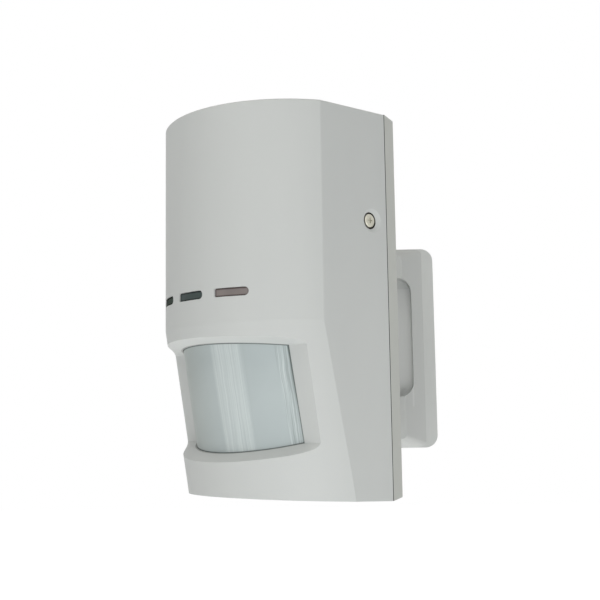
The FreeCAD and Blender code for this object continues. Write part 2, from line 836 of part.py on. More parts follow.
def make_rear_base():
    """Shallow tray: tapering sides, a tongue that enters the cover, board posts and the closing tab."""
    body = add_body("rear_base")
    front = cover_depth + seam_gap
    sketch = add_sketch(body, "XY", -MARGIN)
    draw_outline(sketch, [(-half_seam, front), (half_seam, front), (half_back, case_back),
                          (-half_back, case_back)])
    add_pad(body, sketch, case_height + MARGIN)
    add_end_drafts(body, front)
    round_edges(body, back_round, lambda box: at(box.YMin, case_back) and at(box.YMax, case_back))
    middle = (tongue_top + tongue_foot) / 2
    rise = tongue_top - tongue_foot
    add_slab(body, front, tongue_height + seam_gap, [(as_size(0), middle, tongue_half * 2, rise)])
    sketch = add_sketch(body, "XZ", tongue_height - cover_depth)
    rectangle(sketch, as_size(0), middle, (tongue_half - tongue_wall) * 2, rise - tongue_wall * 2)
    add_pocket(body, sketch, tongue_height + base_depth - case_wall)
    add_slab(body, floor_face + MARGIN, floor_face + MARGIN - board_rear, post_places(post_width, post_width))
    add_slab(body, floor_face + MARGIN, arm_seat + MARGIN,
             [(as_size(0), pivot_height, arm_plate_width, arm_plate_height)])
    tab_centre = boss_end - fit_gap - tab_thickness / 2
    add_slab(body, floor_face + MARGIN, floor_face + MARGIN - screw_depth + tab_width / 2,
             [(tab_centre, screw_height, tab_thickness, tab_width)])
    threads = screw_width + thread_clearance * 2
    add_side_cylinder(body, "SubtractiveCylinder", tab_centre - tab_thickness, threads, tab_thickness * 2)
    add_holes(body, board_rear, post_width * 2, post_places(threads)[:2])
    add_holes(body, case_back, case_wall + arm_seat - MARGIN, arm_hole_places(threads), Reversed=True)
    add_holes(body, case_back, case_wall + MARGIN, [(as_size(0), grommet_height, grommet_width)],
              Reversed=True)
    return body


def make_board_parts():
    """The circuit board and everything that is soldered or clipped to it."""
    zero = as_size(0)
    board = make_slab("circuit_board", board_rear, board_thickness,
                      [(zero, board_foot + board_height / 2, board_width, board_height)])
    add_holes(board, board_front, board_thickness, post_places(screw_width + thread_clearance * 2)[:2])
    return [board] + make_sensors() + make_terminals() + make_small_parts() + make_lights()


def make_sensors():
    """The heat sensor in its holder and the microwave module on its pins."""
    zero = as_size(0)
    middle = radar_foot + radar_height / 2
    pins = [(pin_pitch * (i - (PINS - 1) / 2), radar_foot + pin_pitch, pin_width, pin_width)
            for i in range(PINS)]
    can = (zero, middle + can_inset / 2, radar_width - 2 * can_inset, radar_height - 2 * can_inset)
    return [make_slab("sensor_holder", board_front, holder_depth, [(zero, sensor_height, holder_width)]),
            make_slab("pyro_sensor", board_front - holder_depth, sensor_depth,
                      [(zero, sensor_height, sensor_width)]),
            make_slab("microwave_board", board_front - can_depth, radar_thickness,
                      [(zero, middle, radar_width, radar_height)]),
            make_slab("microwave_can", board_front - fit_gap, can_depth - fit_gap, [can]),
            make_slab("header_pins", board_front, can_depth, pins)]


def make_terminals():
    """The row of terminals with one screw each, sunk in its own pocket."""
    middle = terminal_foot + terminal_height / 2
    places = [(terminal_pitch * (i - (TERMINALS - 1) / 2), middle) for i in range(TERMINALS)]
    block = make_slab("terminal_block", board_front, terminal_depth,
                      [(as_size(0), middle, terminal_width, terminal_height)])
    sketch = add_sketch(block, "XZ", terminal_depth - board_front)
    for x, z in places:
        rectangle(sketch, x, z, screw_width + head_clearance * 2, screw_width + head_clearance * 2)
    add_pocket(block, sketch, screw_pocket * 2)
    screws = add_body("terminal_screws")
    sketch = add_sketch(screws, "XZ", terminal_depth - board_front - screw_pocket * 2)
    for x, z in places:
        draw_polygon(sketch, x, z, screw_width, 8)
    add_pad(screws, sketch, screw_pocket)
    return [block, screws]


def make_small_parts():
    """Relay, capacitor, processor, tamper switch with its pressed lever, and the range jumpers."""
    jumpers = [(jumper_side + jumper_pitch * i, upper_row, pin_pitch, pin_pitch * 2) for i in (-1, 0, 1)]
    return [make_slab("alarm_relay", board_front, terminal_depth,
                      [(relay_side, relay_foot + relay_height / 2, relay_width, relay_height)]),
            make_slab("supply_capacitor", board_front, capacitor_depth,
                      [(-relay_side, relay_foot, capacitor_width)]),
            make_slab("processor_chip", board_front, chip_depth,
                      [(as_size(0), upper_row, chip_width, chip_width / 2)]),
            make_slab("tamper_switch", board_front, switch_depth,
                      [(switch_side, upper_row, switch_width, switch_height)]),
            make_slab("tamper_lever", board_front - switch_depth, lever_depth,
                      [(switch_side, upper_row, lever_width, lever_height)]),
            make_slab("jumper_block", board_front, jumper_depth, jumpers),
            make_slab("jumper_caps", board_front - jumper_depth, jumper_rise, jumpers[:2])]


def make_lights():
    """A light behind each window and the clear guide that carries their light to the slots."""
    lights = [make_slab("led_" + side, board_front, led_depth, [(x, slot_centre, led_width, guide_thickness)])
              for side, (x, width) in slot_places().items()]
    return lights + [make_light_guide()]


def make_light_guide():
    """One clear moulding: a bar from each light to its window, a strip that joins them and two feet."""
    body = add_body("light_guide")
    strip = guide_width / 3
    strip_rear = -guide_width / 4
    half = guide_width / 2
    light_face = board_front - led_depth - guide_gap
    for x, width in slot_places().values():
        tip = arc_face(x - half if x.value < 0 else x + half, inner_radius - slot_flange - guide_gap)
        add_slab(body, strip_rear, strip_rear - tip, [(x, slot_centre, guide_width, guide_thickness)])
    add_slab(body, strip_rear + strip, strip,
             [(as_size(0), slot_centre, slot_offset * 2 + guide_width, guide_thickness)])
    for x, width in slot_places().values():
        add_slab(body, light_face, light_face - strip_rear, [(x, slot_centre, guide_stem, guide_thickness)])
    feet = [(slot_offset / 2 * i, slot_centre, guide_thickness, guide_thickness) for i in (-1, 1)]
    add_slab(body, board_front, board_front - strip_rear, feet)
    return body


def add_shank(body, length):
    """A screw's shank, from the head's underside at z = 0 down."""
    sketch = add_sketch(body, "XY", -length)
    draw_circle(sketch, 0, 0, screw_width)
    add_pad(body, sketch, length)


def make_hexagon_screw(label, length):
    """Screw with a hexagon head whose underside is at z = 0."""
    body = add_body(label)
    add_shank(body, length)
    sketch = add_sketch(body, "XY")
    draw_polygon(sketch, 0, 0, screw_flats, 6)
    add_pad(body, sketch, head_height)
    return body


def make_closing_screw(length):
    """Pan-head screw with a crossed drive, the head's underside at z = 0."""
    body = add_body("pan_head_screw")
    add_shank(body, length)
    rim = head_width / 2
    add_revolved(body, [(0, 0), (rim, 0), (rim, head_rim), (head_crown / 2, head_height), (0, head_height)])
    sketch = add_sketch(body, "XY", head_height)
    arm, slit = drive_width / 2, drive_slot / 2
    draw_outline(sketch, [(arm, -slit), (arm, slit), (slit, slit), (slit, arm), (-slit, arm), (-slit, slit),
                          (-arm, slit), (-arm, -slit), (-slit, -slit), (-slit, -arm), (slit, -arm),
                          (slit, -slit)])
    add_pocket(body, sketch, drive_depth)
    return body


def copies(label, master, places):
    """The same piece at several places, as one group of separate solids."""
    doc.recompute()
    solids = []
    for base, rotation in places:
        solid = master.Shape.copy()
        solid.Placement = FreeCAD.Placement(base, rotation)
        solids.append(solid)
    group = doc.addObject("Part::Feature", label)
    group.Label = label
    group.Shape = Part.makeCompound(solids)
    return group


def make_screws():
    """The closing screw, the board's screws and the screws that hold the arm to the base."""
    to_front = FreeCAD.Rotation(V(1, 0, 0), 90)
    to_rear = FreeCAD.Rotation(V(1, 0, 0), -90)
    to_side = FreeCAD.Rotation(V(0, 1, 0), 90)
    side_screw = make_closing_screw(boss_height + tab_thickness + head_height)
    board_screw = make_hexagon_screw("board_screw", post_width + MARGIN)
    arm_screw = make_hexagon_screw("arm_screw", arm_plate_thickness + case_wall + arm_seat - 2 * MARGIN)
    board_places = [(V(x.value, board_front.value, z.value), to_front) for x, z in post_places()[:2]]
    arm_face = (case_back + arm_plate_thickness).value
    arm_places = [(V(x.value, arm_face, z.value), to_rear) for x, z in arm_hole_places()]
    side_place = V(screw_seat.value, screw_depth.value, screw_height.value)
    return [copies("closing_screw", side_screw, [(side_place, to_side)]),
            copies("board_screws", board_screw, board_places),
            copies("arm_screws", arm_screw, arm_places)]


def make_cable_grommet():
    """Closed rubber plug with a lip that covers the cable hole's edge."""
    body = add_body("cable_grommet")
    lip = grommet_width + 2 * grommet_lip
    place = (as_size(0), grommet_height)
    add_slab(body, case_back + grommet_lip, grommet_lip, [place + (lip,)])
    add_slab(body, case_back, case_wall, [place + (grommet_width - 2 * thread_clearance,)])
    return body


def make_swivel_arm():
    """Plate screwed to the rear base, a web that narrows to the barrel, and the barrel round the bolt."""
    body = add_body("swivel_arm")
    sketch = add_sketch(body, "XZ", -(case_back + arm_plate_thickness))
    rounded_rectangle(sketch, as_size(0), pivot_height, arm_plate_width, arm_plate_height, arm_plate_corner)
    add_pad(body, sketch, arm_plate_thickness)
    root_half = arm_plate_height / 2 - arm_plate_corner
    shoulder = pivot_depth - ear_width / 2 - fit_gap * 2
    sketch = add_sketch(body, "YZ")
    draw_outline(sketch, [(case_back + MARGIN, pivot_height - root_half),
                          (shoulder, pivot_height - barrel_half), (pivot_depth, pivot_height - barrel_half),
                          (pivot_depth, pivot_height + barrel_half), (shoulder, pivot_height + barrel_half),
                          (case_back + MARGIN, pivot_height + root_half)])
    add_pad(body, sketch, arm_web, Midplane=True)
    sketch = add_sketch(body, "XY", pivot_height - barrel_half)
    draw_circle(sketch, as_size(0), pivot_depth, barrel_width)
    add_pad(body, sketch, barrel_half * 2)
    sketch = add_sketch(body, "XY", pivot_height + barrel_half)
    draw_circle(sketch, as_size(0), pivot_depth, bolt_width)
    add_pocket(body, sketch, barrel_half * 2)
    add_holes(body, case_back, arm_plate_thickness, arm_hole_places(screw_width + thread_clearance * 2))
    return body


def cut_bevels(body, plane, half, run):
    """Slope two opposite sides of the raised middle from a half width at the foot, set in by a run on top."""
    sketch = add_sketch(body, plane)
    top = -plate_edge - plate_rise
    for side in (-1, 1):
        corners = [(half * side, -plate_edge), ((half - run) * side, top), ((half - run) * side, top - MARGIN),
                   ((half + MARGIN) * side, top - MARGIN), ((half + MARGIN) * side, -plate_edge)]
        draw_outline(sketch, corners if plane == "XY" else [(depth, across) for across, depth in corners])
    add_pocket(body, sketch, plate_height * 2, Midplane=True)


def make_wall_plate():
    """Plate with a raised, drafted middle, the pocket for the swivel, two ears and the fixing holes."""
    body = add_body("wall_plate")
    zero = as_size(0)
    sketch = add_sketch(body, "XZ")
    rounded_rectangle(sketch, zero, zero, plate_width, plate_height, plate_corner)
    add_pad(body, sketch, plate_edge)
    raised_width = plate_width - 2 * plate_shoulder
    sketch = add_sketch(body, "XZ")
    rectangle(sketch, zero, zero, raised_width, plate_height - raised_step)
    add_pad(body, sketch, plate_edge + plate_rise)
    cut_bevels(body, "XY", raised_width / 2, plate_run)
    cut_bevels(body, "YZ", (plate_height - raised_step) / 2, plate_draft)
    round_edges(body, raised_corner, lambda box: at(box.YLength, plate_rise, fit_gap.value)
                and not at(box.XLength, 0) and not at(box.ZLength, 0))
    sketch = add_sketch(body, "XZ", plate_edge + plate_rise)
    rounded_rectangle(sketch, zero, pivot_lift, pocket_width, pocket_height, pocket_corner)
    add_pocket(body, sketch, plate_rise)
    ear = ear_width / 2
    for foot in (pivot_lift + ear_gap / 2, pivot_lift - ear_gap / 2 - ear_thickness):
        sketch = add_sketch(body, "XY", foot)
        draw_outline(sketch, [(-ear, -MARGIN), (-ear, -pivot_to_wall, ear), (0, -pivot_to_wall - ear, ear),
                              (ear, -pivot_to_wall), (ear, -MARGIN)])
        add_pad(body, sketch, ear_thickness)
    sketch = add_sketch(body, "XY", pivot_lift + ear_gap / 2 + ear_thickness)
    draw_circle(sketch, zero, -pivot_to_wall, bolt_width)
    add_pocket(body, sketch, ear_gap + 2 * ear_thickness)
    holes = corners_of(wall_hole_spread / 2, pivot_lift, wall_hole_rise / 2, wall_hole_width)
    add_holes(body, -plate_edge, plate_edge, holes + [(zero, cable_hole_height, cable_hole_width)])
    return body


def make_pivot():
    """Hexagon bolt down through the ears, its nut, and the two washers the barrel turns between."""
    zero = as_size(0)
    top = pivot_lift + ear_gap / 2 + ear_thickness
    foot = pivot_lift - ear_gap / 2 - ear_thickness
    bolt = add_body("pivot_bolt")
    sketch = add_sketch(bolt, "XY", top)
    draw_polygon(sketch, zero, -pivot_to_wall, bolt_flats, 6)
    add_pad(bolt, sketch, bolt_head)
    sketch = add_sketch(bolt, "XY", foot - nut_height - MARGIN)
    draw_circle(sketch, zero, -pivot_to_wall, bolt_width - 2 * bolt_clearance)
    add_pad(bolt, sketch, top - foot + nut_height + MARGIN * 1.5)
    nut = add_body("pivot_nut")
    sketch = add_sketch(nut, "XY", foot - nut_height)
    draw_polygon(sketch, zero, -pivot_to_wall, bolt_flats, 6)
    draw_circle(sketch, zero, -pivot_to_wall, bolt_width)
    add_pad(nut, sketch, nut_height)
    ring = add_body("washer")
    sketch = add_sketch(ring, "XY")
    draw_circle(sketch, zero, zero, washer_width)
    draw_circle(sketch, zero, zero, bolt_width)
    add_pad(ring, sketch, washer_thickness)
    heights = (pivot_lift - ear_gap / 2, pivot_lift + ear_gap / 2 - washer_thickness)
    washers = copies("friction_washers", ring,
                     [(V(0, -pivot_to_wall.value, z.value), FreeCAD.Rotation()) for z in heights])
    return [bolt, nut, washers]


def hang_on_pivot(piece):
    """Carry a piece from the case's frame to the wall's, turned on the pivot by the pan angle."""
    piece.Placement = FreeCAD.Placement(V(0, 0, 0), FreeCAD.Rotation(V(0, 0, -1), pan_angle.value))
    piece.setExpression("Placement.Base.x", (-pivot_depth * sine(pan_angle)).formula)
    piece.setExpression("Placement.Base.y", (-pivot_to_wall - pivot_depth * cosine(pan_angle)).formula)
    piece.setExpression("Placement.Base.z", (-plate_lift).formula)
    piece.setExpression("Placement.Rotation.Angle", pan_angle.formula)


head = [make_front_cover(), make_lens(), make_lens_frame(), make_rear_base(), make_cable_grommet(),
        make_swivel_arm()]
head += make_indicator_windows() + make_board_parts() + make_screws()
bracket = [make_wall_plate()] + make_pivot()
doc.recompute()
for piece in head:
    hang_on_pivot(piece)
doc.recompute()

for item in doc.Objects:
    if "Invalid" in item.State or "Error" in item.State:
        raise RuntimeError("%s (%s) failed: %s" % (item.Label, item.TypeId, item.State))
os.makedirs("parts", exist_ok=True)
for piece in head + bracket:
    if piece.Shape.isNull() or not piece.Shape.isValid() or not piece.Shape.Solids:
        raise RuntimeError("%s has no valid solid" % piece.Label)
    piece.Shape.exportStep("parts/%s.step" % piece.Label)
    box = piece.Shape.BoundBox
    print("%-26s %8.1f mm3, %d solid(s), %5.1f x %5.1f x %5.1f mm" % (
        piece.Label, piece.Shape.Volume, len(piece.Shape.Solids), box.XLength, box.YLength, box.ZLength))
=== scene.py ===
import math

import bpy
import numpy as np
from mathutils import Matrix, Vector


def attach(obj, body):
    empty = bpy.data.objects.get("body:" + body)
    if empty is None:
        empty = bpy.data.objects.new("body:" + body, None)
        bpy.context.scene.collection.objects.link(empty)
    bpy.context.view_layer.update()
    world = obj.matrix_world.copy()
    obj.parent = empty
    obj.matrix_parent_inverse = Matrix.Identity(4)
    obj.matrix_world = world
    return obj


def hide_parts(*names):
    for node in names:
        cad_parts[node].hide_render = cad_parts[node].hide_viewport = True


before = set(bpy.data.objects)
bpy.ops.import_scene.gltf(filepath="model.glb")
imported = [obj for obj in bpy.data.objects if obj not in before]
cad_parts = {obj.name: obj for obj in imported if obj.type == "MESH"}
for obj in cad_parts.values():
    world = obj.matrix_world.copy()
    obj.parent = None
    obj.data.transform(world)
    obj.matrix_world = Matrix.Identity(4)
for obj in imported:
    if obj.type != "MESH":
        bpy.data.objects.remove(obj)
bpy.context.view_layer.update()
scene = bpy.context.scene

# Studio. The detector hangs clear of everything, seen a little from below,
# over a pale floor in even, soft light with white all round.
MM = 0.001
camera_place = Vector((-9.7, -488.6, -32.3)) * MM
camera_turn, camera_tilt, camera_roll = (math.radians(a) for a in (2.14, 6.66, -0.871))
camera_lens, camera_sensor = 59.28, 36
floor_level, floor_half, floor_shade = -0.35, 3, "#f0f0ee"
sky_light, floor_light, floor_white = 0.1, 0.46, 0.92
white = (1, 1, 1, 1)
lamps_aim = Vector((0, -0.05, 0))
# Each lamp's name, place, width and height in metres, power in watts and tint.
studio_lamps = (("front_light", (-0.15, -1.3, -0.26), 0.8, 0.5, 3.4, (0.98, 0.99, 1)),
                ("low_light", (0.1, -0.5, -0.27), 0.6, 0.16, 0.66, (0.98, 0.99, 1)),
                ("high_light", (0.2, -1.3, 0.9), 0.6, 0.6, 2.1, (1, 0.99, 0.96)),
                ("top_light", (-0.35, -0.55, 1.2), 0.8, 0.8, 7.3, (1, 0.98, 0.94)),
                ("back_light", (0.9, 0.9, 0.6), 1.0, 1.0, 3.7, (1, 0.99, 0.96)))

camera = bpy.data.objects.new("camera", bpy.data.cameras.new("camera"))
camera.data.lens = camera_lens
camera.data.sensor_width = camera_sensor
scene.collection.objects.link(camera)
ahead = Vector((-math.sin(camera_turn) * math.cos(camera_tilt),
                math.cos(camera_turn) * math.cos(camera_tilt), math.sin(camera_tilt)))
level = Vector((math.cos(camera_turn), math.sin(camera_turn), 0))
upright = level.cross(ahead)
side = level * math.cos(camera_roll) + upright * math.sin(camera_roll)
above = upright * math.cos(camera_roll) - level * math.sin(camera_roll)
facing = Matrix((side, above, -ahead)).transposed().to_4x4()
camera.matrix_world = Matrix.Translation(camera_place) @ facing
scene.camera = camera
scene.view_settings.view_transform = "Standard"


def colour(code):
    """A written colour such as #c8c8c8 as linear light, with its alpha."""
    parts = [int(code[i:i + 2], 16) / 255 for i in (1, 3, 5)]
    linear = (p / 12.92 if p <= 0.04045 else ((p + 0.055) / 1.055) ** 2.4 for p in parts)
    return tuple(linear) + (1.0,)


class Value:
    """A shader socket that joins in sums, so that a pattern reads as its formula."""

    def __init__(self, net, socket):
        self.net, self.socket = net, socket

    def math(self, operation, *others):
        return self.net.add("Math", {"operation": operation}, self, *others)

    def __add__(self, other): return self.math("ADD", other)
    __radd__ = __add__
    def __mul__(self, other): return self.math("MULTIPLY", other)
    __rmul__ = __mul__
    def __sub__(self, other): return self.math("SUBTRACT", other)
    def __rsub__(self, other): return self * -1 + other
    def __gt__(self, other): return self.math("GREATER_THAN", other)
    def __lt__(self, other): return self.math("LESS_THAN", other)


class Net:
    """One material's or world's nodes.

    add() makes any node: its kind, its settings, then what its sockets take, in order or by name."""

    def __init__(self, owner):
        owner.use_nodes = True
        self.tree = owner.node_tree
        self.tree.nodes.clear()

    def add(self, kind, settings=None, *values, out=0, **named):
        node = self.tree.nodes.new("ShaderNode" + kind)
        for name, setting in (settings or {}).items():
            setattr(node, name, setting)
        by_name = [(name.replace("_", " "), value) for name, value in named.items()]
        for name, value in list(enumerate(values)) + by_name:
            if isinstance(value, Value):
                self.tree.links.new(value.socket, node.inputs[name])
            elif value is not None:
                node.inputs[name].default_value = value
        return Value(self, node.outputs[out]) if node.outputs else None

    def place(self):
        return self.add("TexCoord", out="Object")

    def noise(self, scale, detail=2.0, place=None, stretch=None):
        place = place or self.place()
        if stretch:
            place = self.add("Mapping", None, place, Scale=stretch)
        return self.add("TexNoise", None, Vector=place, Scale=scale, Detail=detail)

    def mix(self, factor, first, second):
        node = self.tree.nodes.new("ShaderNodeMix")
        node.data_type = "RGBA"
        sockets = (node.inputs[0], node.inputs[6], node.inputs[7])
        for socket, value in zip(sockets, (factor, first, second)):
            if isinstance(value, Value):
                self.tree.links.new(value.socket, socket)
            else:
                socket.default_value = value
        return Value(self, node.outputs[2])

    def smooth(self, value, low, high):
        """A soft step from 0 at one value to 1 at another."""
        return self.add("MapRange", {"interpolation_type": "SMOOTHSTEP"}, value, low, high)

    def bump(self, height, strength, distance):
        return self.add("Bump", None, Strength=strength, Distance=distance, Height=height)

    def finish(self, **sockets):
        self.add("OutputMaterial", None, self.add("BsdfPrincipled", None, **sockets))


def seen(net):
    """1 for what the camera, a reflection or a pass through glass meets, 0 for light alone."""
    rays = [net.add("LightPath", out="Is %s Ray" % name)
            for name in ("Camera", "Glossy", "Transmission")]
    return rays[0].math("MAXIMUM", rays[1]).math("MAXIMUM", rays[2])


if scene.world is None:
    scene.world = bpy.data.worlds.new("studio")
net = Net(scene.world)
dim, plain = (net.add("Background", None, white, strength) for strength in (sky_light, 1.0))
net.add("OutputWorld", None, net.add("MixShader", None, seen(net), dim, plain))


def put(mesh, name):
    """A new object for a mesh, at the origin."""
    piece = bpy.data.objects.new(name, mesh)
    scene.collection.objects.link(piece)
    return piece


def grid_mesh(name, points):
    """A smooth mesh through rows by columns by 3 points, one four-sided face per cell."""
    rows, columns = points.shape[:2]
    corner = (np.arange(rows - 1)[:, None] * columns + np.arange(columns - 1)).ravel()
    faces = np.stack([corner, corner + 1, corner + columns + 1, corner + columns], axis=1)
    mesh = bpy.data.meshes.new(name)
    mesh.from_pydata(points.reshape(-1, 3).tolist(), [], faces.tolist())
    mesh.polygons.foreach_set("use_smooth", np.full(len(faces), True))
    mesh.update()
    return mesh


edge = np.linspace(-floor_half, floor_half, 5)
east, north = np.meshgrid(edge, edge)
floor_points = np.stack([east, north, np.full_like(east, floor_level)], axis=-1)
floor = put(grid_mesh("floor", floor_points), "floor")
floor_paint = bpy.data.materials.new("floor_paint")
net = Net(floor_paint)
matte = net.add("BsdfDiffuse", None, colour(floor_shade))
dim, plain = (net.add("AddShader", None, matte, net.add("Emission", None, white, strength))
              for strength in (floor_light, floor_white))
net.add("OutputMaterial", None, net.add("MixShader", None, seen(net), dim, plain))
floor.data.materials.append(floor_paint)

for name, place, width, height, power, tint in studio_lamps:
    lamp = bpy.data.lights.new(name, "AREA")
    lamp.shape, lamp.size, lamp.size_y = "RECTANGLE", width, height
    lamp.energy, lamp.color = power, tint
    light = bpy.data.objects.new(name, lamp)
    scene.collection.objects.link(light)
    light.location = place
    light.rotation_euler = (lamps_aim - light.location).to_track_quat("-Z", "Y").to_euler()


# Front cover. One injection moulding in off-white plastic, its mould spark-eroded to a fine
# grain. The chin, the brow over the lens, the slots and the screw's dish are moulded with it;
# the base's tongue enters it behind the seam and one screw in its side closes it.
case_turn, case_across, case_back, case_down = math.radians(45), 48.22, 72.22, 67.1
cover_end = 34.25
well_back, well_up, well_radius = 25.6, 113.7, 3.5
# The opening's foot and head: a height at the shoulders, and a slope from there to the back.
opening_foot, opening_head = (23.8, 0.256), (61.7, -0.107)
opening_side, opening_taper, opening_spare, opening_painted_shade = 35.1, 0.021, 0.06, 0.4
flow_scale, flow_gloss, grain_gloss = 30, 0.08, 0.14
plastic_sheen, plastic_relief = 0.3, 0.00005


def dress(material, *nodes):
    """Give CAD nodes a material in place of the one they came with."""
    for node in nodes:
        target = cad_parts[node]
        if not target.material_slots:
            target.data.materials.append(material)
        for slot in target.material_slots:
            slot.link = "OBJECT"
            slot.material = material


def axes(net, place):
    """A place's three numbers in millimetres."""
    return [net.add("SeparateXYZ", None, place, out=axis) * 1000 for axis in range(3)]


def in_case(east, north, up):
    """A place in the case's own millimetres.

    They run sideways from its middle, back from its shoulders and up from its foot."""
    east, north = east + case_across, north + case_back
    cosine, sine = math.cos(case_turn), math.sin(case_turn)
    return east * cosine - north * sine, east * sine + north * cosine, up + case_down


def moulded(name, base, shade, rough, relief, grain=0.0004, flow=(1, 1, 0.25), painted_shading=None,
            painted_shading_colour="#34332f"):
    """Moulded plastic: faint flow marks along the mould, a fine grain in relief and gloss.

    Its mask gives, from the place in millimetres, where painted shade goes, in a seam or a recess,
    and where painted light goes, in a lit pocket; the colour after the mask is the paint put there."""
    material = bpy.data.materials.new(name)
    net = Net(material)
    flowing = net.noise(flow_scale, 3, stretch=flow)
    fine = net.noise(1 / grain, 2)
    coarse = net.noise(0.3 / grain, 2)
    paint = net.mix(flowing, colour(base), colour(shade))
    # Painted shade and painted light, where the mask says.
    if painted_shading:
        paint = net.mix(painted_shading(*axes(net, net.place())), paint, colour(painted_shading_colour))
    gloss = rough + (fine - 0.5) * grain_gloss + (flowing - 0.5) * flow_gloss
    net.finish(Base_Color=paint, Roughness=gloss, Specular_IOR_Level=plastic_sheen,
               Normal=net.bump(fine + coarse * 0.5, relief, plastic_relief))
    return material


def cover_painted_shade(*place):
    """Painted shade: dark on the seam's edge and in the well round the screw's head, less dark on
    the opening's walls.
    """
    across, depth, up = in_case(*place)
    aside, above = depth - well_back, up - well_up
    well = ((aside * aside + above * above) < well_radius ** 2) * (across > 0)
    foot, head = (height + depth * slope for height, slope in (opening_foot, opening_head))
    side = opening_side + opening_spare - (up - opening_foot[0]) * opening_taper
    opening = ((across.math("ABSOLUTE") < side) * (up > foot - opening_spare)
               * (up < head + opening_spare))
    return (well + opening * opening_painted_shade + (depth > cover_end)).math("MINIMUM", 1.0)


# The cover's plastic, with painted shade at the seam, in the screw's well and on the opening's
# walls.
dress(moulded("cover_plastic", "#ced1cf", "#c6c9c8", 0.5, 0.5, painted_shading=cover_painted_shade), "front_cover")


# Rear base. The tray behind the seam, moulded in the same plastic from its own tool, so its
# grain runs a little coarser. The board, the arm and the grommet are fixed to it.
base_start, base_grain = 34.65, 0.0005


def base_painted_shade(*place):
    """The base's edge in the seam, painted dark as shade."""
    return in_case(*place)[1] < base_start


# The base's plastic, with painted shade on its edge in the seam.
dress(moulded("base_plastic", "#c6c8c3", "#bec1bc", 0.52, 0.5, base_grain, painted_shading=base_painted_shade),
      "rear_base")


# Wall plate and swivel arm. Both are moulded in glass-filled plastic, greyer and drier than
# the case, with longer flow marks. The plate is screwed to the wall, the arm to the base.
# Two shades, roughness, relief, grain in metres and how the flow marks are drawn out.
bracket_plastic = ("#cacccb", "#c2c5c3", 0.6, 0.6, 0.0005, (1, 1, 0.1))
plate_face, plate_back, pocket_half_width, pocket_half_height = -7.7, -0.5, 26.9, 28.9


def plate_pocket_painted_light(east, north, up):
    """The pocket in the plate's face, painted lighter as light thrown by the pale wall of the case.
    """
    return ((east.math("ABSOLUTE") < pocket_half_width) * (up.math("ABSOLUTE") < pocket_half_height)
            * (north > plate_face) * (north < plate_back))


# The plate's plastic, painted lighter in its pocket as painted light.
dress(moulded("plate_plastic", *bracket_plastic, plate_pocket_painted_light, "#cfd1d0"), "wall_plate")
dress(moulded("arm_plastic", *bracket_plastic), "swivel_arm")

# Lens frame. A thin arched frame, moulded in plain plastic, that holds the lens sheet into its
# seat from behind.
dress(moulded("frame_plastic", "#c9cccb", "#c2c5c4", 0.55, 0.4), "lens_frame")


# Lens. A sheet of milky polythene 0.8 mm thick, its grooves moulded in upright bands, bent into
# an arc that leans back with the lower front and slid into the window's seat from behind. It is
# drawn 0.7 mm thick, so that the sheet with its ribs stays inside the CAD lens.
lens_arc, lens_axis, lens_lean = 44.65, 21.16, math.tan(math.radians(10))
lens_far, lens_foot, lens_head = 36.2, (21.9, 0.256), (63.6, -0.107)
lens_apex, lens_sheet, lens_hidden = 71.2, 0.7, 0.7
lens_columns, lens_rows = 301, 91
ribbed_bands = ((-19.5, -3.5), (3.5, 19.5), (29.8, 34.6), (-34.6, -29.8))
rib_depth, rib_pitch, rib_fade = 0.05, 0.95, 0.5
# The painted light and shade in millimetres across the sheet: where each change starts and over how
# much it runs.
tone_turn, main_start, main_end, outer_start = (-28, 40), (3.2, 2.4), (16.4, 3.0), (30.0, 0.8)
edge_shadow, band_foot, band_lean = (0.1, 0.35), 24, 0.02
line_scale, fine_scale, broad_scale, milk_scale = 1500, 2600, 420, 60
line_draw, broad_draw, line_wander = (1, 0.012, 1), (1, 0.02, 1), 0.0012
main_tone, main_broad, main_lines = 0.25, 0.6, 2.0
outer_tone, outer_lines, darkest, dark_share = -0.05, 4.0, -0.5, -0.6


def inside(x, low, high):
    """1 between two places and 0 outside them, with soft steps."""
    return np.clip((x - low) / rib_fade, 0, 1) * np.clip((high - x) / rib_fade, 0, 1)


def lens_mesh():
    """The arc y = axis - sqrt(arc^2 - x^2), leaning by (apex - z) tan 10, between two planes.

    In a band of ribs the radius shrinks by 0.05 (1 - cos(2 pi x / 0.95)) mm. Each column ends
    where z = height + slope y meets the leaning line."""
    x = np.linspace(-lens_far, lens_far, lens_columns)
    ribs = (sum(inside(x, low, high) for low, high in ribbed_bands)
            * rib_depth * (1 - np.cos(2 * np.pi * x / rib_pitch)))
    level = lens_axis - np.sqrt((lens_arc - ribs) ** 2 - x ** 2)
    ends = [(height + slope * (level + lens_apex * lens_lean)) / (1 + slope * lens_lean)
            for height, slope in (lens_foot, lens_head)]
    part = np.linspace(0, 1, lens_rows)[:, None]
    z = ends[0] * (1 - part) + ends[1] * part
    x = np.broadcast_to(x, z.shape)
    y = level + (lens_apex - z) * lens_lean
    east = x * math.cos(case_turn) + y * math.sin(case_turn) - case_across
    north = y * math.cos(case_turn) - x * math.sin(case_turn) - case_back
    mesh = grid_mesh("lens", np.stack([east, north, z - case_down], axis=-1) * MM)
    flat = mesh.uv_layers.new(name="flat")
    corners = np.empty(len(mesh.loops), dtype=np.int32)
    mesh.loops.foreach_get("vertex_index", corners)
    both = np.stack([x.ravel() * MM, z.ravel() * MM], axis=1)
    flat.data.foreach_set("uv", both[corners].astype(np.float32).ravel())
    foot, head = (z - height - slope * y for height, slope in (opening_foot, opening_head))
    side = opening_side - opening_taper * (z - opening_foot[0]) - lens_hidden
    to_edge = np.minimum(np.minimum(foot, -head), side - x).astype(np.float32)
    mesh.attributes.new("to_edge", "FLOAT", "POINT").data.foreach_set("value", to_edge.ravel())
    return mesh


